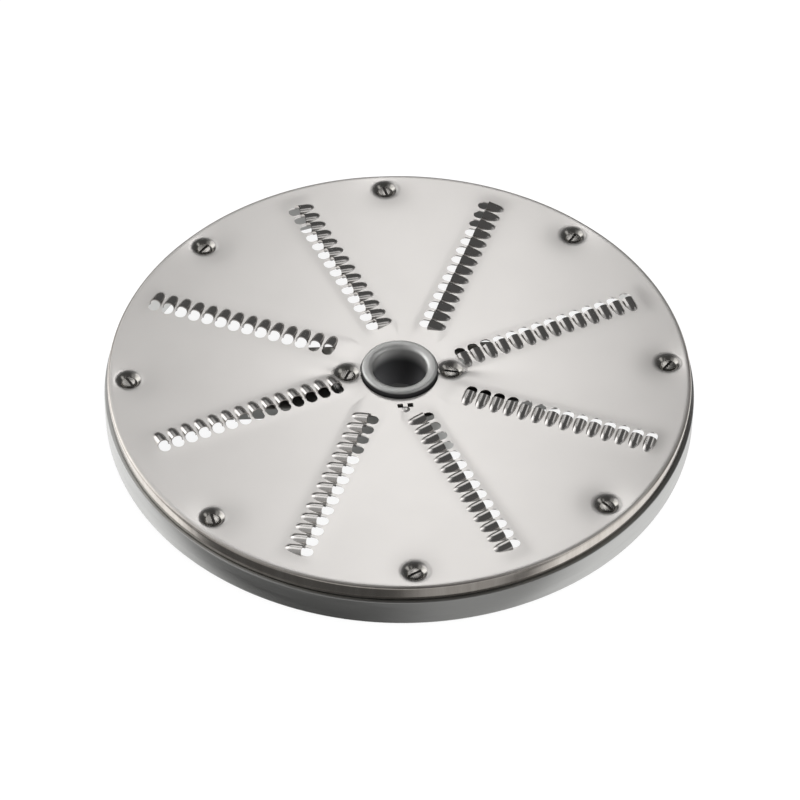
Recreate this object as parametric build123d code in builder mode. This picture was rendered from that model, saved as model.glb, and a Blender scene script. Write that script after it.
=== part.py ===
from build123d import *

import math
import os
from itertools import cycle

# Grating disc of a vegetable cutter: a cast aluminium body, a stainless grating plate that caps it,
# and slotted screws that hold the plate down. Millimetres, base on Z = 0, drive shaft along Z.

# Cast body, outer ring
disc_diameter = 205.0
wall_height = 10.4  # outer wall, from the base to the shoulder
neck_height = 4.8  # neck that the plate's skirt goes over
ring_thickness = 7.5
wall_proud = 1.2  # how far the outer wall stands outside the skirt
screw_lug_width = 13.0
screw_lug_reach = 5.2  # from a rim screw's axis to the inner face of its lug

# Cast body, hub and bar
bore_diameter = 19.0
bore_chamfer = 1.0
collar_thickness = 3.8
collar_rise = 2.7  # above the plate
lip_chamfer = 1.8
hub_shelf = 9.7  # width of the hub's top that carries the plate
hub_flare = 6.0  # how much wider the hub is at its base
bar_width = 30.0
bar_depth = 5.4
drive_slot_width = 8.0
drive_slot_depth = 6.0

# Grating plate
sheet = 0.8
skirt_height = 5.2  # from the plate's top to the skirt's lower edge
edge_roll = 1.1
skirt_clearance = 0.1  # skirt to neck
collar_clearance = 0.5  # plate to collar

# Grating teeth, every second row shifted outwards by half a pitch
row_count = 8
tooth_pitch = 5.0
first_tooth_gap = 1.3  # from a hub screw's head to the middle of the first tooth
last_tooth_gap = 3.6  # from the middle of the last tooth to the ring, at least
lip_setback = 2.35  # the cutting lips stand this far behind their row's radial line
hood_length = 6.1
hood_width = 4.3
lip_height = 1.85
lip_thickness = 0.45
shoulder_width = 2.7
shoulder_height = 1.25
tooth_hole_width = 3.7
tooth_hole_length = 3.7
tooth_hole_corner = 1.1

# Locating tab in the plate beside the collar, between two small slots
tab_angle = -87.5
tab_width = 1.6
tab_slot_width = 1.7
tab_slot_length = 2.2
tab_gap = 2.1  # from the plate's hub hole to the slots

# Screws
rim_screw_inset = 8.8  # from the outer wall to the axis of a screw, one between each two rows
hub_screw_count = 2
head_diameter = 9.0
head_top_diameter = 6.4
head_rise = 0.5
driver_slot_width = 1.2
driver_slot_depth = 0.3
hub_head_gap = 0.2  # from a hub screw's head to the collar
driver_slot_turns = (50, 56, 104, 49, 119, 102, 30, 127, -15, 63)  # rim screws, then hub screws

# Places that follow from these
disc_radius = disc_diameter / 2
seat = wall_height + neck_height  # the plate lies on this level
plate_top = seat + sheet
plate_radius = disc_radius - wall_proud
neck_radius = plate_radius - sheet - skirt_clearance
ring_inner = disc_radius - ring_thickness
bore_radius = bore_diameter / 2
collar_radius = bore_radius + collar_thickness
collar_top = plate_top + collar_rise
hub_radius = collar_radius + hub_shelf
hub_hole_radius = collar_radius + collar_clearance
rim_screw_radius = disc_radius - rim_screw_inset
hub_screw_radius = collar_radius + hub_head_gap + head_diameter / 2
lug_length = rim_screw_inset + screw_lug_reach - ring_thickness / 2
first_tooth = hub_screw_radius + head_diameter / 2 + first_tooth_gap
row_turn = 360 / row_count
hood_slope = math.atan2(lip_height, hood_length)
hood_backwards = (0, -math.cos(hood_slope), -math.sin(hood_slope))


# Cast body: ring with a neck and screw lugs, bar, flared hub with a collar
with BuildPart() as cast_body:
    with BuildSketch(Plane.XZ):
        with BuildLine():
            Polyline(
                (ring_inner, 0),
                (disc_radius, 0),
                (disc_radius, wall_height),
                (neck_radius, wall_height),
                (neck_radius, seat),
                (ring_inner, seat),
                close=True,
            )
        make_face()
    revolve(axis=Axis.Z)
    with BuildSketch():
        with PolarLocations(rim_screw_radius, row_count):
            with Locations((-screw_lug_reach, 0)):
                Rectangle(lug_length, screw_lug_width, align=(Align.MIN, Align.CENTER))
    extrude(amount=seat)
    with BuildSketch(Plane.XY.offset(seat)):
        Rectangle(2 * ring_inner + ring_thickness, bar_width)
    extrude(amount=-bar_depth)
    with BuildSketch(Plane.XZ):
        with BuildLine():
            Polyline(
                (0, 0),
                (hub_radius + hub_flare, 0),
                (hub_radius, seat),
                (collar_radius, seat),
                (collar_radius, collar_top - lip_chamfer),
                (collar_radius - lip_chamfer, collar_top),
                (0, collar_top),
                close=True,
            )
        make_face()
    revolve(axis=Axis.Z)
    with Locations((0, 0, collar_top)):
        CounterSinkHole(bore_radius, bore_radius + bore_chamfer, counter_sink_angle=90)
    with BuildSketch():
        Rectangle(2 * (hub_radius + hub_flare), drive_slot_width)
    extrude(amount=drive_slot_depth, mode=Mode.SUBTRACT)
cast_body.part.label = "cast_body"

# Hood of one tooth: the middle of its lip's foot is the origin, the lip faces +Y
with BuildPart() as hood:
    with BuildSketch(Plane.XZ):
        with BuildLine():
            Polyline(
                (-hood_width / 2, -sheet / 2),
                (-hood_width / 2, 0),
                (-shoulder_width / 2, shoulder_height),
                (0, lip_height),
                (shoulder_width / 2, shoulder_height),
                (hood_width / 2, 0),
                (hood_width / 2, -sheet / 2),
                close=True,
            )
        make_face()
    extrude(amount=2 * hood_length, dir=hood_backwards)
    with BuildSketch(Plane.XY.offset(-sheet / 2)):
        Rectangle(2 * hood_width, 4 * hood_length)
    extrude(amount=sheet + lip_height, mode=Mode.INTERSECT)

# Opening of one tooth: the hollow under its hood, and the hole in front of its lip
with BuildPart() as tooth_opening:
    with BuildSketch(Plane.XZ):
        with BuildLine():
            Polyline(
                (-tooth_hole_width / 2, -2 * sheet),
                (-tooth_hole_width / 2, 0),
                (0, lip_height - lip_thickness),
                (tooth_hole_width / 2, 0),
                (tooth_hole_width / 2, -2 * sheet),
                close=True,
            )
        make_face()
    extrude(amount=2 * hood_length, dir=hood_backwards)
    with BuildSketch(Plane.XY.offset(-2 * sheet)):
        with Locations((0, tooth_hole_length / 2)):
            hole = Rectangle(tooth_hole_width, tooth_hole_length)
        chamfer(hole.vertices().group_by(Axis.Y)[-1], tooth_hole_corner)
    extrude(amount=4 * sheet + lip_height)

# Places of the teeth, row by row
tooth_places = []
for row in range(row_count):
    row_start = first_tooth + row % 2 * tooth_pitch / 2
    row_length = ring_inner - last_tooth_gap - row_start
    for tooth in range(int(row_length / tooth_pitch) + 1):
        turn = Location((0, 0, plate_top), (0, 0, (row + 0.5) * row_turn))
        tooth_places.append(turn * Location((row_start + tooth * tooth_pitch, -lip_setback, 0)))

# Grating plate: shallow pan with a skirt, rows of teeth and a locating tab
with BuildPart() as grating_plate:
    with BuildSketch(Plane.XZ):
        with BuildLine():
            Polyline(
                (hub_hole_radius, seat),
                (plate_radius - sheet, seat),
                (plate_radius - sheet, plate_top - skirt_height),
                (plate_radius, plate_top - skirt_height),
                (plate_radius, plate_top - edge_roll),
                (plate_radius - edge_roll, plate_top),
                (hub_hole_radius, plate_top),
                close=True,
            )
        make_face()
    revolve(axis=Axis.Z)
    with BuildSketch(Plane.XY.offset(seat)):
        with PolarLocations(hub_hole_radius + tab_gap + tab_slot_length / 2, 1, start_angle=tab_angle):
            with GridLocations(0, tab_width + tab_slot_width, 1, 2):
                Rectangle(tab_slot_length, tab_slot_width)
    extrude(amount=sheet, mode=Mode.SUBTRACT)
    with Locations(*tooth_places):
        add(hood.part)
    with Locations(*tooth_places):
        add(tooth_opening.part, mode=Mode.SUBTRACT)
grating_plate.part.label = "grating_plate"

# Screws: slotted heads seated on the plate, at the rim and beside the collar
rim_places = PolarLocations(rim_screw_radius, row_count, rotate=False)
hub_places = PolarLocations(hub_screw_radius, hub_screw_count, rotate=False)
with BuildPart() as screws:
    for place, turn in zip((*rim_places, *hub_places), cycle(driver_slot_turns)):
        with Locations(place * Location((0, 0, plate_top), (0, 0, turn))):
            Cone(
                head_diameter / 2,
                head_top_diameter / 2,
                head_rise,
                align=(Align.CENTER, Align.CENTER, Align.MIN),
            )
        with Locations(place * Location((0, 0, plate_top + head_rise), (0, 0, turn))):
            Box(head_diameter, driver_slot_width, 2 * driver_slot_depth, mode=Mode.SUBTRACT)
screws.part.label = "screws"

os.makedirs("parts", exist_ok=True)
for piece in (cast_body.part, grating_plate.part, screws.part):
    export_step(piece, f"parts/{piece.label}.step")
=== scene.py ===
"""Dresses the grating disc: casting, pressed stainless plate, slotted screws and the studio."""

import math

import bmesh
import bpy
from bpy.props import FloatProperty, FloatVectorProperty, IntProperty, PointerProperty
from mathutils import Matrix, Quaternion, Vector


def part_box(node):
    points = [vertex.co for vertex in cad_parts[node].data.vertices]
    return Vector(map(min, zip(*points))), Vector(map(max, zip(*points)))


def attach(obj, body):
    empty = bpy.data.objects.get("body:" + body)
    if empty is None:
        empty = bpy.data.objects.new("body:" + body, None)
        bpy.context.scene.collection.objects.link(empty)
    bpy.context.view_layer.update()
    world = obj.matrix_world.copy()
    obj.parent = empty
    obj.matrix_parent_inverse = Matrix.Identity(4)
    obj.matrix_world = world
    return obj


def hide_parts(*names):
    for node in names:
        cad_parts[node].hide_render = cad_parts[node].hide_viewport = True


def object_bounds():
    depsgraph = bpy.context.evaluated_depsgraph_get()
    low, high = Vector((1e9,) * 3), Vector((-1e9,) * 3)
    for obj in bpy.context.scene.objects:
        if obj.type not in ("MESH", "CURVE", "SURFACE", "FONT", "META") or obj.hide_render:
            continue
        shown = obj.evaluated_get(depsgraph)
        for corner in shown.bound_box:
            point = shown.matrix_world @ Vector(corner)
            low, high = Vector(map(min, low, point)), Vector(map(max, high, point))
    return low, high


bl_info = {
    "name": "Grating disc",
    "version": (1, 0, 0),
    "blender": (4, 5, 0),
    "location": "View3D > Sidebar > Disc",
    "description": "Builds the looks of a food processor's grating disc around its packed frame",
    "category": "Object",
}

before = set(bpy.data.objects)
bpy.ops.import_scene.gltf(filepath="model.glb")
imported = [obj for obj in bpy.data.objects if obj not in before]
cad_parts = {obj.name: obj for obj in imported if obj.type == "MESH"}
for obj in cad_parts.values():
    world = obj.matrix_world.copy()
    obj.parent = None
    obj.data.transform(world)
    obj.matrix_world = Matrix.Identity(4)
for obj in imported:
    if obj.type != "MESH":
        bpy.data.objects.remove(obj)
cad_low, cad_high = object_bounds()
plate_low, plate_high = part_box("grating_plate")
screws_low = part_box("screws")[0]

MM = 0.001
WELD = 1e-6  # points closer than this are one
NEAR = 0.1 * MM  # a face this near to a surface counts as part of it
CLEAR = MM  # how far a cutter reaches past what it cuts

# Levels and radii of the frame
DISC_RADIUS = (cad_high.x - cad_low.x) / 2
PLATE_RADIUS = (plate_high.x - plate_low.x) / 2
PLATE_TOP = screws_low.z
SKIRT_FOOT = plate_low.z
COLLAR_TOP = cad_high.z

ROWS = 8
ROW_TURN = math.tau / ROWS
# First tooth of each row from the axis, in millimetres
ROW_STARTS = (23.1, 25.2, 24.1, 26.9, 23.2, 25.8, 24.35, 26.65)
# Below 1, the nose of a hood is fuller than an ellipse
NOSE_POWER = 0.85
# Direction of the locating tab from the axis
TAB_TURN = Matrix.Rotation(math.radians(-86.5), 4, "Z")
# Driver slots of the rim screws and then of the hub screws, in degrees
SLOT_TURNS = (50, 56, 104, 49, 119, 102, 30, 127, -15, 63)
# Foot of a screw's head, from the plate's top
SCREW_FOOT = -2.1 * MM

# Low swell that pressing leaves along a row: its height, how far its middle lies behind the row's
# radial line, and where it starts and is full, to each side and from the axis at its two ends
ROW_SWELL = 0.13 * MM
SWELL_SETBACK = 3.2 * MM
SWELL_SIDE = (7.4 * MM, 2.6 * MM)
SWELL_INNER = (17 * MM, 23 * MM)
SWELL_OUTER = (97 * MM, 92 * MM)

# Fold that runs outwards from a hub screw: its spread, its length and where it is full
FOLD_SPREAD = math.radians(26)
FOLD_REACH = 26 * MM
FOLD_FULL = 4 * MM

# Sections of the dimple that a screw's head sits in, as radius and height from the plate's top in
# millimetres: the space above it, the sheet under it, and the pocket that takes it in the casting
DIMPLE = (
    (0, -2.5),
    (2.5, -2.5),
    (2.5, -1.2),
    (3.4, -0.54),
    (4.0, -0.22),
    (4.5, -0.07),
    (5.0, -0.02),
    (5.7, -0.005),
    (5.7, 1),
    (0, 1),
)
DIMPLE_CUP = ((0, -1.95), (2.9, -1.95), (4.5, -0.75), (4.5, -0.4), (0, -0.4))
POCKET = ((0, -2.12), (3.2, -2.12), (4.65, -0.9), (4.65, 0.6), (0, 0.6))

# Bright panels of the light tent: azimuth and elevation of the middle, half width, half height and
# softness in degrees, and brightness. Azimuth is counted from +X towards +Y.
PANELS = (
    (113, 44, 14, 18, 6, 1.0),
    (160, 24, 22, 36, 5, 1.2),
    (151, 15, 18, 26, 6, 1.9),
    (85, 48, 3, 8, 3.5, 5.1),
    (4, 42, 12, 9, 5, 0.8),
    (-38, 36, 8, 18, 5, 0.6),
    (-160, 20, 26, 45, 12, 0.35),
    (-90, 0, 40, 16, 8, 0.5),
    (15, -50, 50, 40, 12, 1.1),
    (-22, 5, 20, 24, 10, 0.9),
    (-68, -50, 20, 40, 8, 0.35),
    (138, -50, 42, 34, 8, 1.3),
)
TENT_DARK = 0.1  # brightness of the cloth between the panels
TENT_RADIUS = 3
FLOOR_SIZE = 6
FLOOR_GAP = 0.02 * MM  # keeps the floor off the casting's base
PAPER_GLOW = 0.9
PAPER_SHADE = (0.16, 0.16, 0.16, 1)  # the part of the paper's white that takes shadows
WORLD_LIGHT = 0.7
WHITE = (1, 1, 1, 1)


def linear(hex_colour):
    """Linear RGB of an sRGB hex colour."""
    channels = [int(hex_colour[i : i + 2], 16) / 255 for i in (1, 3, 5)]
    return tuple(c / 12.92 if c <= 0.04045 else ((c + 0.055) / 1.055) ** 2.4 for c in channels)


def length(name, millimetres, description):
    """A length that a user may change, with its default in millimetres."""
    return FloatProperty(
        name=name,
        description=description,
        default=millimetres * MM,
        min=0,
        precision=5,
        subtype="DISTANCE",
        unit="LENGTH",
    )


def colour(name, hex_colour, description):
    """A colour that a user may change, with its default in sRGB hex."""
    return FloatVectorProperty(
        name=name,
        description=description,
        default=linear(hex_colour),
        min=0,
        max=1,
        subtype="COLOR",
    )


class DISC_PG_casting(bpy.types.PropertyGroup):
    """Sizes of the cast body."""

    wall_height: length("Wall height", 10.4, "Outer wall, from the base to the shoulder")
    ring_thickness: length("Ring thickness", 7.5, "Ring, from its inner face to the outer wall")
    neck_step: length("Neck step", 2.1, "From the outer wall to the neck inside the skirt")
    sheet_seat: length("Seat depth", 0.95, "From the plate's top to the seat that carries it")
    lug_width: length("Lug width", 13.0, "Screw lug, along the rim")
    lug_reach: length("Lug reach", 5.2, "From a rim screw's axis to the lug's inner face")
    lug_round: length("Lug round", 2.5, "Round on a lug's corners")
    bar_width: length("Bar width", 30.0, "Bar across the disc")
    bar_depth: length("Bar depth", 5.4, "Bar, below the seat")
    hub_top: length("Hub top radius", 23.0, "Hub where it meets the plate")
    hub_base: length("Hub base radius", 29.0, "Hub at the base")
    collar_radius: length("Collar radius", 13.3, "Outside of the collar")
    bore_radius: length("Bore radius", 9.5, "Bore for the drive shaft")
    lip_round: length("Lip round", 1.1, "Round on the collar's outer edge")
    mouth_round: length("Mouth round", 1.6, "Round on the bore's upper edge")
    edge_round: length("Edge round", 0.7, "Round on the casting's other edges")
    slot_width: length("Drive slot width", 8.0, "Slot under the hub for the shaft's cross pin")
    slot_depth: length("Drive slot depth", 6.0, "Depth of that slot")


class DISC_PG_plate(bpy.types.PropertyGroup):
    """Sizes of the pressed plate."""

    sheet: length("Sheet", 0.8, "Thickness of the sheet")
    edge_roll: length("Edge roll", 1.1, "Outside radius of the rolled edge")
    skirt_round: length("Skirt round", 0.2, "Round on the skirt's lower edge")
    hub_hole: length("Hub hole radius", 13.8, "Hole round the collar")
    tooth_pitch: length("Tooth pitch", 5.0, "From one tooth to the next along a row")
    teeth: IntProperty(name="Teeth", description="Teeth in a row", default=14, min=1)
    lip_setback: length("Lip setback", 2.05, "From the row's radial line back to the lips")
    hood_length: length("Hood length", 7.0, "From the lip back to the hood's nose, along its slope")
    shoulder: length("Shoulder", 3.2, "From the lip back to where the nose starts to narrow")
    hood_width: length("Hood width", 4.3, "Hood at its lip")
    hood_tilt: FloatProperty(
        name="Hood tilt",
        description="Slope of the hood down to its nose",
        default=math.radians(12),
        subtype="ANGLE",
        unit="ROTATION",
    )
    lip_height: length("Lip height", 1.9, "Lip above the plate")
    lip_thickness: length("Lip thickness", 0.45, "Sheet at the lip")
    side_thickness: length("Side thickness", 0.3, "Sheet at the sides of the mouth")
    hole_width: length("Hole width", 3.8, "Hole in front of a lip")
    hole_length: length("Hole length", 3.35, "From the lip to the hole's round end")
    hole_flare: length("Hole flare", 0.3, "Widening of a hole through the sheet, on each side")
    tab_radius: length("Tab radius", 17.0, "From the axis to the locating tab")
    tab_width: length("Tab width", 1.6, "Tab between its two slots")
    tab_slot: length("Tab slot", 1.9, "Side of each slot beside the tab")
    lift: length("Lift", 0.4, "Sheet above its flat level, where no screw pulls it down")
    screw_dimple: length("Screw dimple", 0.3, "Depth of the wide hollow round a screw")
    dimple_spread: length("Dimple spread", 7.0, "Radius over which that hollow fades")
    hub_pull: length("Hub pull", 0.35, "Depth of the fold that runs out from a hub screw")


class DISC_PG_screws(bpy.types.PropertyGroup):
    """Sizes of the screws."""

    rim_circle: length("Rim circle", 93.7, "From the axis to a rim screw")
    hub_circle: length("Hub circle", 18.0, "From the axis to a hub screw")
    head_radius: length("Head radius", 2.45, "Radius of a head")
    head_sink: length("Head sink", 0.6, "Middle of a head below the plate's flat level")
    head_crown: length("Head crown", 0.15, "Rise of a head from its edge to its middle")
    head_round: length("Head round", 0.15, "Round on a head's edge")
    slot_width: length("Slot width", 0.95, "Width of the driver slot")
    slot_depth: length("Slot depth", 0.5, "Depth of the driver slot")


class DISC_PG_finishes(bpy.types.PropertyGroup):
    """Colours of the finishes."""

    stainless: colour("Stainless sheet", "#d4d1ce", "Cold rolled stainless sheet")
    cloud: colour("Clouds", "#cac7c4", "Duller patches of that sheet")
    skirt_dark: colour("Skirt streaks", "#a8a098", "Drawn skirt, in its streaks")
    skirt_light: colour("Skirt", "#d6d1ca", "Drawn skirt, between its streaks")
    # Paints shade into the screws' dimples
    dimple_shade: colour("Dimple shade", "#b0ada8", "Stainless in the screws' dimples")
    aluminium: colour("Aluminium", "#b9b9b7", "Satin cast aluminium")
    blasted: colour("Blasted aluminium", "#e4e4e2", "Matte collar")
    # Paints shade into the bore and onto the collar's side
    collar_shade: colour("Collar shade", "#545456", "Painted shade on the bore and side of the collar")
    # Paints shade into the driver slots
    slot_shade: colour("Slot shade", "#5c5a57", "Painted shade in the driver slots")
    screw: colour("Screw", "#a8a5a1", "Polished steel")
    paper: colour("Floor paper", "#f2f2f2", "Studio floor")


def add_node(tree, kind, values=None, links=None, **settings):
    """Adds a node with its settings and input values, and links its inputs to other outputs."""
    node = tree.nodes.new(kind)
    for name, value in settings.items():
        setattr(node, name, value)
    for socket, value in (values or {}).items():
        node.inputs[socket].default_value = value
    for socket, source in (links or {}).items():
        tree.links.new(source, node.inputs[socket])
    return node


def per_mm(size):
    """Texture scale at which a pattern's features are about this many millimetres across."""
    return 1 / (size * MM)


def new_material(name):
    """An empty node material and its tree."""
    material = bpy.data.materials.new(name)
    material.use_nodes = True
    material.node_tree.nodes.clear()
    return material, material.node_tree


def from_axis(tree, place):
    """Distance of a place from the disc's axis."""
    flat = add_node(tree, "ShaderNodeVectorMath", {1: (1, 1, 0)}, {0: place}, operation="MULTIPLY")
    away = add_node(tree, "ShaderNodeVectorMath", links={0: flat.outputs[0]}, operation="LENGTH")
    return away.outputs["Value"]


def seen_as_background(tree):
    """1 where the camera, a mirror or glass looks at the background, and 0 where it gives light."""
    path = add_node(tree, "ShaderNodeLightPath")
    seen = path.outputs["Is Camera Ray"]
    for ray in ("Is Glossy Ray", "Is Transmission Ray"):
        either = add_node(
            tree, "ShaderNodeMath", links={0: seen, 1: path.outputs[ray]}, operation="MAXIMUM"
        )
        seen = either.outputs[0]
    return seen


def section(points):
    """A profile for the lathe, from radii and heights in millimetres."""
    return [(radius * MM, height * MM, 0) for radius, height in points]


def lathe(profile, steps):
    """Spins a closed profile round Z. A point is radius, height and the cuts up to the next one."""
    bm = bmesh.new()
    corners = [bm.verts.new((radius, 0, height)) for radius, height, cuts in profile]
    sides = [bm.edges.new(pair) for pair in zip(corners, corners[1:] + corners[:1])]
    for side, (radius, height, cuts) in zip(sides, profile):
        if cuts:
            bmesh.ops.subdivide_edges(bm, edges=[side], cuts=cuts)
    bmesh.ops.spin(
        bm,
        geom=bm.verts[:] + bm.edges[:],
        axis=(0, 0, 1),
        angle=math.tau,
        steps=steps,
        use_merge=True,
    )
    bmesh.ops.remove_doubles(bm, verts=bm.verts, dist=WELD)
    bmesh.ops.recalc_face_normals(bm, faces=bm.faces)
    return bm


def round_edges(bm, edges, offset, segments):
    """Rounds these edges."""
    bmesh.ops.bevel(
        bm,
        geom=edges,
        offset=offset,
        segments=segments,
        profile=0.5,
        affect="EDGES",
        material=-1,
    )


def round_ring(bm, radius, height, offset, segments):
    """Rounds the circular edge at this radius and height."""
    ring = [
        edge
        for edge in bm.edges
        if all(
            abs(vert.co.xy.length - radius) < 10 * WELD and abs(vert.co.z - height) < 10 * WELD
            for vert in edge.verts
        )
    ]
    round_edges(bm, ring, offset, segments)


def block(low, high, rounding=0, segments=2, axis=2):
    """A box between two corners, with its edges along one axis rounded."""
    bm = bmesh.new()
    bmesh.ops.create_cube(bm, size=1)
    low, high = Vector(low), Vector(high)
    bmesh.ops.scale(bm, vec=high - low, verts=bm.verts)
    bmesh.ops.translate(bm, vec=(low + high) / 2, verts=bm.verts)
    if rounding:
        along = [e for e in bm.edges if abs((e.verts[0].co - e.verts[1].co)[axis]) > WELD]
        round_edges(bm, along, rounding, segments)
    return bm


def as_object(name, bm):
    """Puts a bmesh into a new object at the origin."""
    mesh = bpy.data.meshes.new(name)
    bm.to_mesh(mesh)
    bm.free()
    piece = bpy.data.objects.new(name, mesh)
    bpy.context.scene.collection.objects.link(piece)
    return piece


def copies(name, source, places):
    """One object that holds a copy of a bmesh at each place."""
    mould = bpy.data.meshes.new(name)
    source.to_mesh(mould)
    source.free()
    bm = bmesh.new()
    for place in places:
        known = len(bm.verts)
        bm.from_mesh(mould)
        bm.verts.ensure_lookup_table()
        bmesh.ops.transform(bm, matrix=place, verts=bm.verts[known:])
    bpy.data.meshes.remove(mould)
    return as_object(name, bm)


def combine(piece, tool, operation):
    """Unites the piece with the tool's solids or cuts them from it, and deletes the tool."""
    modifier = piece.modifiers.new("Combine", "BOOLEAN")
    modifier.operation = operation
    modifier.solver = "MANIFOLD"
    modifier.object = tool
    depsgraph = bpy.context.evaluated_depsgraph_get()
    shaped = bpy.data.meshes.new_from_object(piece.evaluated_get(depsgraph))
    if not shaped.polygons:
        raise RuntimeError(f"{operation} of {tool.name} left nothing of {piece.name}")
    former = piece.data
    piece.modifiers.clear()
    shaped.materials.clear()
    piece.data = shaped
    shaped.name = piece.name
    bpy.data.meshes.remove(former)
    bpy.data.objects.remove(tool)


def finish_piece(piece, node, materials, crease):
    """Shades the piece, gives it its materials and sets it in the frame in place of its node."""
    for material in materials:
        piece.data.materials.append(material)
    piece.data.shade_smooth()
    piece.data.set_sharp_from_angle(angle=math.radians(crease))
    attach(piece, "root")
    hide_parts(node)


def screw_axes(screws):
    """Axes of the rim screws, then of the hub screws."""
    turns = [Matrix.Rotation(number * ROW_TURN, 2) for number in range(ROWS)]
    rim = [turn @ Vector((screws.rim_circle, 0)) for turn in turns]
    return [*rim, Vector((screws.hub_circle, 0)), Vector((-screws.hub_circle, 0))]


def screw_places(screws):
    """Where the screws' axes meet the plate's top."""
    return [Matrix.Translation((*axis, PLATE_TOP)) for axis in screw_axes(screws)]


def ease(value, start, end):
    """Smooth step from 0 at the start to 1 at the end."""
    part = min(max((value - start) / (end - start), 0), 1)
    return part * part * (3 - 2 * part)


def sheet_rise(x, y, plate, axes, hub_circle):
    """How far the sheet stands above its flat level: lifted, swollen at rows, pulled by screws."""
    radius = math.hypot(x, y)
    turn = math.atan2(y, x) % ROW_TURN - ROW_TURN / 2
    beside = abs(radius * math.sin(turn) + SWELL_SETBACK)
    along = ease(radius, *SWELL_INNER) * ease(radius, *SWELL_OUTER)
    rise = plate.lift + ROW_SWELL * along * ease(beside, *SWELL_SIDE)
    for axis in axes:
        away = (Vector((x, y)) - axis).length / plate.dimple_spread
        rise -= plate.screw_dimple * math.exp(-(away**2))
    for side in (1, -1):
        outwards = side * x - hub_circle
        if outwards > 0:
            spread = math.atan2(y, outwards) / FOLD_SPREAD
            reach = math.hypot(outwards, y) / FOLD_REACH
            depth = plate.hub_pull * math.exp(-reach - spread**2)
            rise -= depth * min(outwards / FOLD_FULL, 1)
    return rise


def cold_rolled_stainless(finishes, flat_level):
    """Cold rolled stainless sheet: smooth, cloudy and softly reflecting, with a drawn skirt."""
    material, tree = new_material("cold_rolled_stainless_sheet")
    place = add_node(tree, "ShaderNodeTexCoord").outputs["Object"]
    # Cloudy patches a few centimetres wide, as rolling leaves them
    clouds = add_node(
        tree,
        "ShaderNodeTexNoise",
        {"Scale": per_mm(28), "Detail": 2, "Roughness": 0.5},
        {"Vector": place},
    )
    sheet = add_node(
        tree,
        "ShaderNodeMix",
        {6: (*finishes.stainless, 1), 7: (*finishes.cloud, 1)},
        {0: clouds.outputs["Fac"]},
        data_type="RGBA",
    )
    # Pickled grain, drawn at about 0.4 mm so that it shows
    grain = add_node(
        tree,
        "ShaderNodeTexNoise",
        {"Scale": per_mm(0.4), "Detail": 3, "Roughness": 0.6},
        {"Vector": place},
    )
    bump = add_node(
        tree,
        "ShaderNodeBump",
        {"Strength": 0.15, "Distance": 0.01 * MM},
        {"Height": grain.outputs["Fac"]},
    )
    # Pressing burnishes what stands off the flat sheet: the hoods, the dimples and the edge
    level = add_node(tree, "ShaderNodeSeparateXYZ", links={0: place})
    height = add_node(
        tree,
        "ShaderNodeMath",
        {1: flat_level},
        {0: level.outputs["Z"]},
        operation="SUBTRACT",
    )
    off = add_node(tree, "ShaderNodeMath", links={0: height.outputs[0]}, operation="ABSOLUTE")
    pressed = add_node(
        tree,
        "ShaderNodeMapRange",
        {"From Min": 0.4 * MM, "From Max": 0.65 * MM},
        {"Value": off.outputs[0]},
    )
    # Roughness of the flat sheet, and of what is pressed
    rough = add_node(
        tree,
        "ShaderNodeMix",
        {2: 0.28, 3: 0.17},
        {0: pressed.outputs["Result"]},
        data_type="FLOAT",
    )
    # The flat sheet's oxide film scatters a part of the light
    metal = add_node(
        tree,
        "ShaderNodeMapRange",
        {"From Min": 0.12 * MM, "From Max": 0.35 * MM, "To Min": 0.78, "To Max": 1},
        {"Value": off.outputs[0]},
    )
    # Painted shade: the sheet is tinted darker in the screws' dimples
    sunk = add_node(
        tree,
        "ShaderNodeMapRange",
        {"From Min": -0.3 * MM, "From Max": -0.7 * MM},
        {"Value": height.outputs[0]},
    )
    dimple = add_node(
        tree,
        "ShaderNodeMix",
        {7: (*finishes.dimple_shade, 1)},
        {0: sunk.outputs["Result"], 6: sheet.outputs[2]},
        data_type="RGBA",
    )
    # Darker and lighter streaks run down the skirt, about 3 mm apart
    upright = add_node(tree, "ShaderNodeMapping", {"Scale": (1, 1, 0.08)}, {"Vector": place})
    streaks = add_node(
        tree,
        "ShaderNodeTexNoise",
        {"Scale": per_mm(3), "Detail": 4, "Roughness": 0.65},
        {"Vector": upright.outputs["Vector"]},
    )
    skirt = add_node(
        tree,
        "ShaderNodeMix",
        {6: (*finishes.skirt_dark, 1), 7: (*finishes.skirt_light, 1)},
        {0: streaks.outputs["Fac"]},
        data_type="RGBA",
    )
    on_skirt = add_node(
        tree,
        "ShaderNodeMapRange",
        {"From Min": PLATE_RADIUS - 1.2 * MM, "From Max": PLATE_RADIUS - 0.1 * MM},
        {"Value": from_axis(tree, place)},
    )
    tint = add_node(
        tree,
        "ShaderNodeMix",
        links={0: on_skirt.outputs["Result"], 6: dimple.outputs[2], 7: skirt.outputs[2]},
        data_type="RGBA",
    )
    surface = add_node(
        tree,
        "ShaderNodeBsdfPrincipled",
        links={
            "Base Color": tint.outputs[2],
            "Metallic": metal.outputs["Result"],
            "Roughness": rough.outputs[0],
            "Normal": bump.outputs["Normal"],
        },
    )
    add_node(tree, "ShaderNodeOutputMaterial", links={"Surface": surface.outputs["BSDF"]})
    return material


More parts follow.
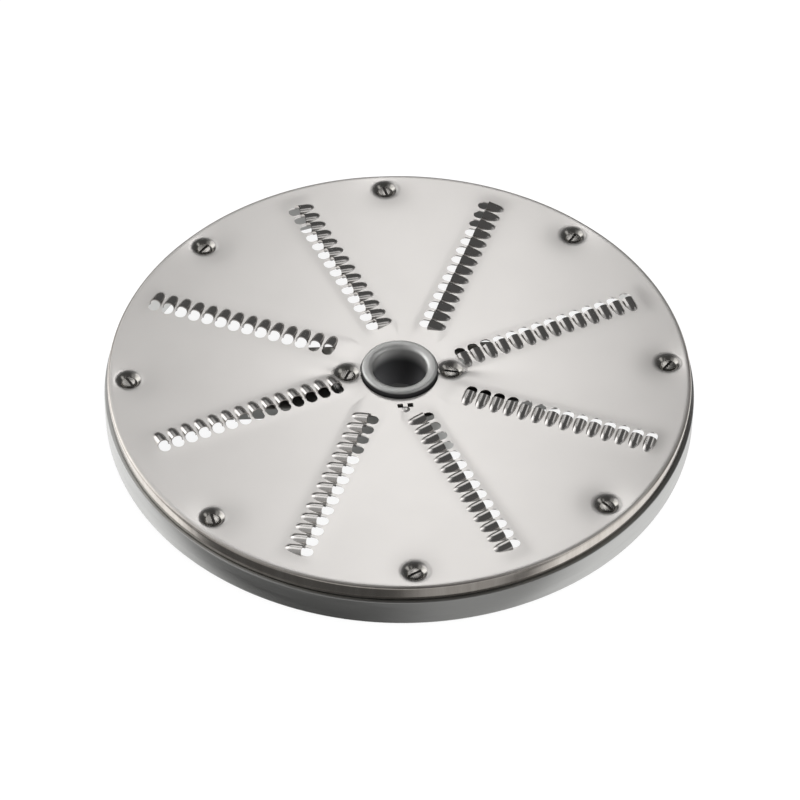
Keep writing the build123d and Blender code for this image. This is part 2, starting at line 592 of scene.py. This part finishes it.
def satin_cast_aluminium(finishes):
    """Cast aluminium with a turned rim: pale and satin, with fine rings and a fine cast grain."""
    material, tree = new_material("satin_cast_aluminium")
    place = add_node(tree, "ShaderNodeTexCoord").outputs["Object"]
    # Turning lines about 0.5 mm apart up the wall, drawn coarser than real ones so that they show
    around = add_node(tree, "ShaderNodeMapping", {"Scale": (0.03, 0.03, 1)}, {"Vector": place})
    turning = add_node(
        tree,
        "ShaderNodeTexNoise",
        {"Scale": per_mm(0.5), "Detail": 2},
        {"Vector": around.outputs["Vector"]},
    )
    rough = add_node(
        tree,
        "ShaderNodeMapRange",
        {"From Min": 0.3, "From Max": 0.7, "To Min": 0.34, "To Max": 0.44},
        {"Value": turning.outputs["Fac"]},
    )
    lines = add_node(
        tree,
        "ShaderNodeBump",
        {"Strength": 0.25, "Distance": 0.02 * MM},
        {"Height": turning.outputs["Fac"]},
    )
    # Cast grain of about 0.5 mm
    grain = add_node(
        tree,
        "ShaderNodeTexNoise",
        {"Scale": per_mm(0.5), "Detail": 4, "Roughness": 0.6},
        {"Vector": place},
    )
    bump = add_node(
        tree,
        "ShaderNodeBump",
        {"Strength": 0.25, "Distance": 0.03 * MM},
        {"Height": grain.outputs["Fac"], "Normal": lines.outputs["Normal"]},
    )
    surface = add_node(
        tree,
        "ShaderNodeBsdfPrincipled",
        {"Base Color": (*finishes.aluminium, 1), "Metallic": 1},
        {"Roughness": rough.outputs["Result"], "Normal": bump.outputs["Normal"]},
    )
    add_node(tree, "ShaderNodeOutputMaterial", links={"Surface": surface.outputs["BSDF"]})
    return material


def matte_blasted_aluminium(finishes):
    """Bead blasted aluminium: pale grey and dull, sandy, with painted shade darkening the bore and
    the collar's outside.
    """
    material, tree = new_material("matte_blasted_aluminium")
    place = add_node(tree, "ShaderNodeTexCoord").outputs["Object"]
    # Sandy grain of about 0.35 mm, as coarse as it needs to be to show
    grain = add_node(
        tree,
        "ShaderNodeTexNoise",
        {"Scale": per_mm(0.35), "Detail": 4, "Roughness": 0.6},
        {"Vector": place},
    )
    bump = add_node(
        tree,
        "ShaderNodeBump",
        {"Strength": 0.3, "Distance": 0.03 * MM},
        {"Height": grain.outputs["Fac"]},
    )
    # Painted shade: below the collar's top, the bore darkens over 7.5 mm and the outside over a
    # millimetre
    axes = add_node(tree, "ShaderNodeSeparateXYZ", links={0: place})
    collar_shade_fades = []
    for light, dark in ((0.6 * MM, 7.5 * MM), (0.1 * MM, 0.9 * MM)):
        collar_shade = add_node(
            tree,
            "ShaderNodeMapRange",
            {"From Min": COLLAR_TOP - light, "From Max": COLLAR_TOP - dark},
            {"Value": axes.outputs["Z"]},
            interpolation_type="SMOOTHSTEP",
        )
        collar_shade_fades.append(collar_shade.outputs["Result"])
    outside = add_node(
        tree,
        "ShaderNodeMapRange",
        {"From Min": 11 * MM, "From Max": 12 * MM},
        {"Value": from_axis(tree, place)},
    )
    collar_shade_amount = add_node(
        tree,
        "ShaderNodeMix",
        links={0: outside.outputs["Result"], 2: collar_shade_fades[0], 3: collar_shade_fades[1]},
        data_type="FLOAT",
    )
    rough = add_node(
        tree,
        "ShaderNodeMapRange",
        {"To Min": 0.5, "To Max": 0.65},
        {"Value": collar_shade_amount.outputs[0]},
    )
    tint = add_node(
        tree,
        "ShaderNodeMix",
        {6: (*finishes.blasted, 1), 7: (*finishes.collar_shade, 1)},
        {0: collar_shade_amount.outputs[0]},
        data_type="RGBA",
    )
    surface = add_node(
        tree,
        "ShaderNodeBsdfPrincipled",
        {"Metallic": 0.95},
        {
            "Base Color": tint.outputs[2],
            "Roughness": rough.outputs["Result"],
            "Normal": bump.outputs["Normal"],
        },
    )
    add_node(tree, "ShaderNodeOutputMaterial", links={"Surface": surface.outputs["BSDF"]})
    return material


def slot_shade_steel(finishes):
    """Steel painted dark grey in the driver slots as shade: dull, with smears."""
    material, tree = new_material("slot_shade_steel")
    place = add_node(tree, "ShaderNodeTexCoord").outputs["Object"]
    # Smears about 4 mm wide
    smears = add_node(
        tree,
        "ShaderNodeTexNoise",
        {"Scale": per_mm(4), "Detail": 4, "Roughness": 0.6},
        {"Vector": place},
    )
    rough = add_node(
        tree,
        "ShaderNodeMapRange",
        {"To Min": 0.5, "To Max": 0.75},
        {"Value": smears.outputs["Fac"]},
    )
    surface = add_node(
        tree,
        "ShaderNodeBsdfPrincipled",
        {"Base Color": (*finishes.slot_shade, 1), "Metallic": 1},
        {"Roughness": rough.outputs["Result"]},
    )
    add_node(tree, "ShaderNodeOutputMaterial", links={"Surface": surface.outputs["BSDF"]})
    return material


def polished_screw_steel(finishes):
    """Polished steel after some use: grey, with soft reflections and faint wipe marks."""
    material, tree = new_material("polished_screw_steel")
    place = add_node(tree, "ShaderNodeTexCoord").outputs["Object"]
    # Wipe marks about 1.2 mm wide
    wipes = add_node(
        tree,
        "ShaderNodeTexNoise",
        {"Scale": per_mm(1.2), "Detail": 4, "Roughness": 0.6},
        {"Vector": place},
    )
    rough = add_node(
        tree,
        "ShaderNodeMapRange",
        {"From Min": 0.3, "From Max": 0.7, "To Min": 0.22, "To Max": 0.3},
        {"Value": wipes.outputs["Fac"]},
    )
    surface = add_node(
        tree,
        "ShaderNodeBsdfPrincipled",
        {"Base Color": (*finishes.screw, 1), "Metallic": 1},
        {"Roughness": rough.outputs["Result"]},
    )
    add_node(tree, "ShaderNodeOutputMaterial", links={"Surface": surface.outputs["BSDF"]})
    return material


class DISC_OT_casting(bpy.types.Operator):
    """Builds the cast body: ring, lugs, bar, hub and collar"""

    bl_idname = "disc.casting"
    bl_label = "Casting"

    def execute(self, context):
        sizes = context.scene.disc_casting
        screws = context.scene.disc_screws
        seat = PLATE_TOP - sizes.sheet_seat
        ring_inner = DISC_RADIUS - sizes.ring_thickness
        ring_middle = ring_inner + sizes.ring_thickness / 2
        casting = as_object("casting", self.ring(sizes, ring_inner, seat))
        # The lugs and the bar end a little below the ring's top
        lug = block(
            (screws.rim_circle - sizes.lug_reach, -sizes.lug_width / 2, 0.5 * sizes.edge_round),
            (ring_middle, sizes.lug_width / 2, seat - sizes.sheet_seat / 4),
            rounding=sizes.lug_round,
            segments=4,
        )
        turns = [Matrix.Rotation(number * ROW_TURN, 4, "Z") for number in range(ROWS)]
        combine(casting, copies("lugs", lug, turns), "UNION")
        bar = block(
            (-ring_middle, -sizes.bar_width / 2, seat - sizes.bar_depth),
            (ring_middle, sizes.bar_width / 2, seat - sizes.sheet_seat / 3),
            rounding=sizes.edge_round,
            axis=0,
        )
        combine(casting, as_object("bar", bar), "UNION")
        # The bar makes room for the hub, which has the bore in it
        core = sizes.bore_radius + CLEAR
        hub_core = lathe(
            [(0, -CLEAR, 0), (core, -CLEAR, 0), (core, seat, 0), (0, seat, 0)],
            steps=64,
        )
        combine(casting, as_object("hub_core", hub_core), "DIFFERENCE")
        combine(casting, as_object("hub", self.hub(sizes, seat)), "UNION")
        slot_reach = sizes.hub_base + CLEAR
        drive_slot = block(
            (-slot_reach, -sizes.slot_width / 2, -sizes.slot_depth),
            (slot_reach, sizes.slot_width / 2, sizes.slot_depth),
        )
        combine(casting, as_object("drive_slot", drive_slot), "DIFFERENCE")
        pockets = copies("pockets", lathe(section(POCKET), steps=24), screw_places(screws))
        combine(casting, pockets, "DIFFERENCE")
        finishes = context.scene.disc_finishes
        materials = [satin_cast_aluminium(finishes), matte_blasted_aluminium(finishes)]
        finish_piece(casting, "cast_body", materials, crease=40)
        for face in casting.data.polygons:
            radius = face.center.xy.length
            in_bore = radius < sizes.bore_radius + NEAR
            on_collar = radius < sizes.collar_radius + NEAR and face.center.z > seat - MM
            face.material_index = int(in_bore or on_collar)
        return {"FINISHED"}

    @staticmethod
    def ring(sizes, inner, seat):
        """The outer ring, with the neck that the plate's skirt goes over."""
        neck = DISC_RADIUS - sizes.neck_step
        bm = lathe(
            [
                (inner, 0, 0),
                (DISC_RADIUS, 0, 0),
                (DISC_RADIUS, sizes.wall_height, 0),
                (neck, sizes.wall_height, 0),
                (neck, seat, 0),
                (inner, seat, 0),
            ],
            steps=192,
        )
        round_ring(bm, DISC_RADIUS, 0, sizes.edge_round, segments=3)
        round_ring(bm, DISC_RADIUS, sizes.wall_height, 0.6 * sizes.edge_round, segments=3)
        round_ring(bm, inner, 0, sizes.edge_round, segments=3)
        return bm

    @staticmethod
    def hub(sizes, seat):
        """The flared hub, with the collar and the bore."""
        bm = lathe(
            [
                (sizes.bore_radius, 0, 0),
                (sizes.hub_base, 0, 0),
                (sizes.hub_top, seat, 0),
                (sizes.collar_radius, seat, 0),
                (sizes.collar_radius, COLLAR_TOP, 0),
                (sizes.bore_radius, COLLAR_TOP, 0),
            ],
            steps=128,
        )
        round_ring(bm, sizes.collar_radius, COLLAR_TOP, sizes.lip_round, segments=6)
        round_ring(bm, sizes.bore_radius, COLLAR_TOP, sizes.mouth_round, segments=5)
        round_ring(bm, sizes.hub_base, 0, sizes.edge_round, segments=3)
        round_ring(bm, sizes.bore_radius, 0, sizes.edge_round, segments=3)
        return bm


class DISC_OT_plate(bpy.types.Operator):
    """Builds the pressed plate: a shallow pan with a rolled edge and rows of hooded teeth"""

    bl_idname = "disc.plate"
    bl_label = "Pressed plate"

    def execute(self, context):
        sizes = context.scene.disc_plate
        screws = context.scene.disc_screws
        under = PLATE_TOP - sizes.sheet
        plate = as_object("pressed_plate", self.pan(sizes, under))
        teeth = self.tooth_places(sizes)
        hood = self.thumb(sizes.hood_width / 2, sizes.lip_height, sizes.hood_length, 0, sizes)
        self.trim(hood, -sizes.sheet / 2)
        combine(plate, copies("hoods", hood, teeth), "UNION")
        hollow = self.thumb(
            sizes.hood_width / 2 - sizes.side_thickness,
            sizes.lip_height - sizes.lip_thickness,
            sizes.hood_length - sizes.lip_thickness,
            sizes.sheet,
            sizes,
        )
        combine(plate, copies("hollows", hollow, teeth), "DIFFERENCE")
        combine(plate, copies("holes", self.front_hole(sizes), teeth), "DIFFERENCE")
        combine(plate, copies("tab_slots", *self.tab_slots(sizes)), "DIFFERENCE")
        combine(plate, copies("tab_dome", *self.tab_dome(sizes)), "UNION")
        seats = screw_places(screws)
        cups = copies("dimple_cups", lathe(section(DIMPLE_CUP), steps=40), seats)
        combine(plate, cups, "UNION")
        dimples = copies("dimples", lathe(section(DIMPLE), steps=48), seats)
        combine(plate, dimples, "DIFFERENCE")
        # The skirt's foot stays in place, and what is above it follows the sheet
        axes = screw_axes(screws)
        for vert in plate.data.vertices:
            on_top = min((vert.co.z - SKIRT_FOOT) / (under - SKIRT_FOOT), 1)
            rise = sheet_rise(vert.co.x, vert.co.y, sizes, axes, screws.hub_circle)
            vert.co.z += on_top * rise
        finishes = context.scene.disc_finishes
        materials = [cold_rolled_stainless(finishes, PLATE_TOP + sizes.lift)]
        finish_piece(plate, "grating_plate", materials, crease=25)
        return {"FINISHED"}

    @staticmethod
    def pan(sizes, under):
        """The flat plate with its rolled edge and its skirt, cut finely enough to bend."""
        inside = PLATE_RADIUS - sizes.sheet
        bm = lathe(
            [
                (sizes.hub_hole, under, 12),
                (inside, under, 1),
                (inside, SKIRT_FOOT, 0),
                (PLATE_RADIUS, SKIRT_FOOT, 2),
                (PLATE_RADIUS, PLATE_TOP, 45),
                (sizes.hub_hole, PLATE_TOP, 0),
            ],
            steps=240,
        )
        round_ring(bm, PLATE_RADIUS, PLATE_TOP, sizes.edge_roll, segments=6)
        round_ring(bm, inside, under, sizes.edge_roll - sizes.sheet, segments=3)
        round_ring(bm, PLATE_RADIUS, SKIRT_FOOT, sizes.skirt_round, segments=2)
        return bm

    @staticmethod
    def tooth_places(sizes):
        """Where each tooth's lip stands, row by row."""
        places = []
        for row in range(ROWS):
            turn = Matrix.Rotation((row + 0.5) * ROW_TURN, 4, "Z")
            for tooth in range(sizes.teeth):
                along = ROW_STARTS[row] * MM + tooth * sizes.tooth_pitch
                lip = Vector((along, -sizes.lip_setback, PLATE_TOP))
                places.append(turn @ Matrix.Translation(lip))
        return places

    @staticmethod
    def trim(bm, height):
        """Cuts off what lies below a height and closes the cut."""
        bmesh.ops.bisect_plane(
            bm,
            geom=bm.verts[:] + bm.edges[:] + bm.faces[:],
            dist=WELD,
            plane_co=(0, 0, height),
            plane_no=(0, 0, 1),
            clear_inner=True,
        )
        rim = [edge for edge in bm.edges if edge.is_boundary]
        return bmesh.ops.edgeloop_fill(bm, edges=rim)["faces"]

    @staticmethod
    def draw_out(bm, faces, height, **settings):
        """Extrudes faces up or down by a height."""
        drawn = bmesh.ops.extrude_face_region(bm, geom=faces, **settings)
        moved = [item for item in drawn["geom"] if isinstance(item, bmesh.types.BMVert)]
        bmesh.ops.translate(bm, vec=(0, 0, height), verts=moved)

    @classmethod
    def thumb(cls, radius, height, reach, front, sizes):
        """A thumb along Y: flat mouth in front, round nose behind, sloped down, with legs below."""
        steps = 6
        profile = []
        for step in range(steps + 1):
            angle = step / steps * math.pi / 2
            along = -sizes.shoulder - (reach - sizes.shoulder) * math.cos(angle) ** NOSE_POWER
            profile.append((radius * math.sin(angle) ** NOSE_POWER, along, 0))
        bm = lathe([*profile, (radius, front, 0), (0, front, 0)], steps=20)
        bmesh.ops.rotate(bm, matrix=Matrix.Rotation(-math.pi / 2, 3, "X"), verts=bm.verts)
        bmesh.ops.scale(bm, vec=(1, 1, height / radius), verts=bm.verts)
        base = cls.trim(bm, 0)
        bmesh.ops.rotate(bm, matrix=Matrix.Rotation(sizes.hood_tilt, 3, "X"), verts=bm.verts)
        cls.draw_out(bm, base, -2 * sizes.sheet)
        bmesh.ops.delete(bm, geom=base, context="FACES_ONLY")
        bmesh.ops.recalc_face_normals(bm, faces=bm.faces)
        return bm

    @classmethod
    def front_hole(cls, sizes):
        """A round-ended prism for the hole in front of a lip, wider below as a punch leaves it."""
        bm = bmesh.new()
        radius = sizes.hole_width / 2
        start = bm.verts.new((radius, sizes.hole_length - radius, -2 * sizes.sheet))
        bmesh.ops.spin(
            bm,
            geom=[start],
            cent=(0, sizes.hole_length - radius, 0),
            axis=(0, 0, 1),
            angle=math.pi,
            steps=12,
        )
        ends = [vert for vert in bm.verts if len(vert.link_edges) == 1]
        feet = [bm.verts.new((end.co.x, 0, end.co.z)) for end in ends]
        for end, foot in zip(ends, feet):
            bm.edges.new((end, foot))
        bm.edges.new(feet)
        bmesh.ops.edgeloop_fill(bm, edges=bm.edges[:])
        # Its top comes out a quarter of the sheet above the plate
        cls.draw_out(bm, bm.faces[:], 2.25 * sizes.sheet, use_keep_orig=True)
        wider = 1 + 4 * sizes.hole_flare / sizes.hole_width
        longer = 1 + 2 * sizes.hole_flare / sizes.hole_length
        low = [vert for vert in bm.verts if vert.co.z < -sizes.sheet]
        bmesh.ops.scale(bm, vec=(wider, longer, 1), verts=low)
        bmesh.ops.recalc_face_normals(bm, faces=bm.faces)
        return bm

    @staticmethod
    def tab_slots(sizes):
        """A cutter for the slots beside the locating tab, and their two places."""
        half = sizes.tab_slot / 2
        cutter = block((-half, -half, -3 * half), (half, half, 3 * half))
        apart = (sizes.tab_width + sizes.tab_slot) / 2
        slots = [Vector((sizes.tab_radius, side * apart, PLATE_TOP)) for side in (-1, 1)]
        return cutter, [TAB_TURN @ Matrix.Translation(slot) for slot in slots]

    @staticmethod
    def tab_dome(sizes):
        """The low dome pressed at the tab's outer end, and its place."""
        dome = bmesh.new()
        radius = 0.9 * sizes.tab_width
        bmesh.ops.create_uvsphere(dome, u_segments=24, v_segments=12, radius=radius)
        bmesh.ops.scale(dome, vec=(1, 1, 0.25), verts=dome.verts)
        out = sizes.tab_radius + sizes.tab_slot
        return dome, [TAB_TURN @ Matrix.Translation((out, 0, PLATE_TOP))]


class DISC_OT_screws(bpy.types.Operator):
    """Builds the slotted screws in their dimples"""

    bl_idname = "disc.screws"
    bl_label = "Screws"

    def execute(self, context):
        sizes = context.scene.disc_screws
        top = -sizes.head_sink
        head = as_object("head", self.head(sizes, top))
        wide = 2 * sizes.head_radius
        slot = block(
            (-wide, -sizes.slot_width / 2, top - sizes.slot_depth),
            (wide, sizes.slot_width / 2, top + sizes.slot_depth),
        )
        combine(head, as_object("driver_slot", slot), "DIFFERENCE")
        mould = bmesh.new()
        mould.from_mesh(head.data)
        bpy.data.objects.remove(head)
        # Painted shade: the slot's floor and walls take the dark slot material
        for face in mould.faces:
            middle = face.calc_center_median()
            between = abs(middle.y) < 0.55 * sizes.slot_width
            below_top = top - 1.1 * sizes.slot_depth < middle.z < top - NEAR
            face.material_index = int(between and below_top)
        places = [
            seat @ Matrix.Rotation(math.radians(turn), 4, "Z")
            for seat, turn in zip(screw_places(sizes), SLOT_TURNS)
        ]
        heads = copies("slotted_screws", mould, places)
        finishes = context.scene.disc_finishes
        materials = [polished_screw_steel(finishes), slot_shade_steel(finishes)]
        finish_piece(heads, "screws", materials, crease=35)
        return {"FINISHED"}

    @staticmethod
    def head(sizes, top):
        """A head with a low crown, a part of a ball, on a straight side."""
        edge = top - sizes.head_crown
        ball = sizes.head_radius**2 / (2 * sizes.head_crown) + sizes.head_crown / 2
        bend = math.asin(sizes.head_radius / ball)
        profile = [(0, SCREW_FOOT, 0), (sizes.head_radius, SCREW_FOOT, 0)]
        steps = 5
        for step in range(steps + 1):
            angle = bend * (1 - step / steps)
            profile.append((ball * math.sin(angle), top - ball * (1 - math.cos(angle)), 0))
        bm = lathe(profile, steps=40)
        round_ring(bm, sizes.head_radius, edge, sizes.head_round, segments=2)
        return bm


class DISC_OT_stage(bpy.types.Operator):
    """Builds the studio: white floor, light tent, lamp and the camera"""

    bl_idname = "disc.stage"
    bl_label = "Stage"

    def execute(self, context):
        scene = context.scene
        scene.view_settings.view_transform = "Standard"
        self.floor(scene)
        self.world(scene)
        self.tent()
        self.lamp(scene)
        self.camera(scene)
        return {"FINISHED"}

    @staticmethod
    def floor(scene):
        """White paper that the camera sees as white, with the disc's shadow on it and a painted
        shadow inside the hub.
        """
        bm = bmesh.new()
        bmesh.ops.create_grid(bm, x_segments=2, y_segments=2, size=FLOOR_SIZE)
        bmesh.ops.translate(bm, vec=(0, 0, cad_low.z - FLOOR_GAP), verts=bm.verts)
        floor = as_object("floor", bm)
        material, tree = new_material("white_floor_paper")
        paper = add_node(tree, "ShaderNodeBsdfDiffuse", {"Color": (*scene.disc_finishes.paper, 1)})
        # Painted shadow: inside the hub the paper's glow fades out, as the casting cuts it off from
        # the studio's light
        place = add_node(tree, "ShaderNodeTexCoord").outputs["Object"]
        radius = add_node(tree, "ShaderNodeVectorMath", links={0: place}, operation="LENGTH")
        glow = add_node(
            tree,
            "ShaderNodeMapRange",
            {"From Min": 22 * MM, "From Max": 28 * MM, "To Max": PAPER_GLOW},
            {"Value": radius.outputs["Value"]},
        )
        lit = add_node(
            tree, "ShaderNodeEmission", {"Color": WHITE}, {"Strength": glow.outputs["Result"]}
        )
        shaded = add_node(tree, "ShaderNodeBsdfDiffuse", {"Color": PAPER_SHADE})
        white = add_node(
            tree, "ShaderNodeAddShader", links={0: lit.outputs[0], 1: shaded.outputs[0]}
        )
        mix = add_node(
            tree,
            "ShaderNodeMixShader",
            links={0: seen_as_background(tree), 1: paper.outputs[0], 2: white.outputs[0]},
        )
        add_node(tree, "ShaderNodeOutputMaterial", links={"Surface": mix.outputs[0]})
        floor.data.materials.append(material)
        # In reflections the tent's lower panels stand for the floor
        floor.visible_glossy = False

    @staticmethod
    def world(scene):
        """A white world, dimmer as a light than it looks."""
        world = bpy.data.worlds.new("studio")
        world.use_nodes = True
        tree = world.node_tree
        tree.nodes.clear()
        strength = add_node(
            tree,
            "ShaderNodeMapRange",
            {"To Min": WORLD_LIGHT, "To Max": 1},
            {"Value": seen_as_background(tree)},
        )
        background = add_node(
            tree,
            "ShaderNodeBackground",
            {"Color": WHITE},
            {"Strength": strength.outputs["Result"]},
        )
        add_node(tree, "ShaderNodeOutputWorld", links={"Surface": background.outputs[0]})
        scene.world = world

    @staticmethod
    def tent():
        """A light tent that only reflections see: dim cloth with bright panels."""
        bm = bmesh.new()
        bmesh.ops.create_uvsphere(bm, u_segments=48, v_segments=24, radius=TENT_RADIUS)
        bmesh.ops.reverse_faces(bm, faces=bm.faces)
        tent = as_object("light_tent", bm)
        material, tree = new_material("light_tent_cloth")
        place = add_node(tree, "ShaderNodeTexCoord").outputs["Object"]
        unit = add_node(tree, "ShaderNodeVectorMath", links={0: place}, operation="NORMALIZE")
        axes = add_node(tree, "ShaderNodeSeparateXYZ", links={0: unit.outputs[0]})
        elevation = add_node(
            tree, "ShaderNodeMath", links={0: axes.outputs["Z"]}, operation="ARCSINE"
        )
        panels = []
        for azimuth, height, half_width, half_height, soft, strength in PANELS:
            # Angles from the panel's middle, round Z and upwards
            turned = add_node(
                tree,
                "ShaderNodeVectorRotate",
                {"Axis": (0, 0, 1), "Angle": -math.radians(azimuth)},
                {"Vector": unit.outputs[0]},
                rotation_type="AXIS_ANGLE",
            )
            split = add_node(tree, "ShaderNodeSeparateXYZ", links={0: turned.outputs[0]})
            across = add_node(
                tree,
                "ShaderNodeMath",
                links={0: split.outputs["Y"], 1: split.outputs["X"]},
                operation="ARCTAN2",
            )
            upwards = add_node(
                tree,
                "ShaderNodeMath",
                {1: math.radians(height)},
                {0: elevation.outputs[0]},
                operation="SUBTRACT",
            )
            # The two fades multiply to the panel's brightness
            fades = {}
            for socket, angle, half in ((0, across, half_width), (1, upwards, half_height)):
                away = add_node(
                    tree, "ShaderNodeMath", links={0: angle.outputs[0]}, operation="ABSOLUTE"
                )
                fade = add_node(
                    tree,
                    "ShaderNodeMapRange",
                    {
                        "From Min": math.radians(half + soft),
                        "From Max": math.radians(half - soft),
                        "To Max": math.sqrt(strength),
                    },
                    {"Value": away.outputs[0]},
                    interpolation_type="SMOOTHSTEP",
                )
                fades[socket] = fade.outputs["Result"]
            panel = add_node(tree, "ShaderNodeMath", links=fades, operation="MULTIPLY")
            panels.append(panel.outputs[0])
        brightest = panels[0]
        for panel in panels[1:]:
            either = add_node(
                tree, "ShaderNodeMath", links={0: brightest, 1: panel}, operation="MAXIMUM"
            )
            brightest = either.outputs[0]
        glow = add_node(tree, "ShaderNodeMath", {1: TENT_DARK}, {0: brightest}, operation="ADD")
        cloth = add_node(
            tree, "ShaderNodeEmission", {"Color": WHITE}, {"Strength": glow.outputs[0]}
        )
        add_node(tree, "ShaderNodeOutputMaterial", links={"Surface": cloth.outputs[0]})
        tent.data.materials.append(material)
        tent.visible_camera = False
        tent.visible_diffuse = False
        tent.visible_shadow = False
        tent.visible_transmission = False

    @staticmethod
    def lamp(scene):
        """A large softbox overhead, which reflections don't show."""
        lamp = bpy.data.lights.new("overhead_softbox", "AREA")
        lamp.shape = "DISK"
        lamp.size = 1.6
        lamp.energy = 14
        softbox = bpy.data.objects.new("overhead_softbox", lamp)
        softbox.location = (0.25, 0.3, 1.6)
        softbox.rotation_mode = "QUATERNION"
        softbox.rotation_quaternion = Vector(softbox.location).to_track_quat("Z", "Y")
        softbox.visible_glossy = False
        softbox.visible_camera = False
        scene.collection.objects.link(softbox)

    @staticmethod
    def camera(scene):
        """A long lens in front of the disc, fitted to its rim and its screws."""
        azimuth = math.radians(-3.807)
        elevation = math.radians(44.957)
        roll = math.radians(0.864)
        distance = 1.37736
        target = Vector((0, 0, 15.6 * MM))
        back = Vector(
            (
                math.sin(azimuth) * math.cos(elevation),
                -math.cos(azimuth) * math.cos(elevation),
                math.sin(elevation),
            )
        )
        data = bpy.data.cameras.new("camera")
        data.sensor_width = 36
        data.lens = 178.553
        data.shift_x = 0.00054
        data.shift_y = -0.03456
        data.clip_start = 0.05
        data.clip_end = 50
        camera = bpy.data.objects.new("camera", data)
        camera.location = target + back * distance
        camera.rotation_mode = "QUATERNION"
        camera.rotation_quaternion = back.to_track_quat("Z", "Y") @ Quaternion((0, 0, 1), roll)
        scene.collection.objects.link(camera)
        scene.camera = camera


class DISC_PT_panel(bpy.types.Panel):
    """Lists the disc's pieces"""

    bl_label = "Grating disc"
    bl_idname = "DISC_PT_panel"
    bl_space_type = "VIEW_3D"
    bl_region_type = "UI"
    bl_category = "Disc"

    def draw(self, context):
        for operator in OPERATORS:
            self.layout.operator(operator.bl_idname)


GROUPS = {
    "disc_casting": DISC_PG_casting,
    "disc_plate": DISC_PG_plate,
    "disc_screws": DISC_PG_screws,
    "disc_finishes": DISC_PG_finishes,
}
OPERATORS = (DISC_OT_casting, DISC_OT_plate, DISC_OT_screws, DISC_OT_stage)
CLASSES = (*GROUPS.values(), *OPERATORS, DISC_PT_panel)


def register():
    """Registers the classes and gives each scene its sizes and colours."""
    for cls in CLASSES:
        bpy.utils.register_class(cls)
    for name, group in GROUPS.items():
        setattr(bpy.types.Scene, name, PointerProperty(type=group))


def unregister():
    """Takes back what register did."""
    for name in GROUPS:
        delattr(bpy.types.Scene, name)
    for cls in reversed(CLASSES):
        bpy.utils.unregister_class(cls)


def main():
    """Builds the disc and its studio."""
    register()
    bpy.ops.disc.casting()
    bpy.ops.disc.plate()
    bpy.ops.disc.screws()
    bpy.ops.disc.stage()


if __name__ == "__main__":
    main()
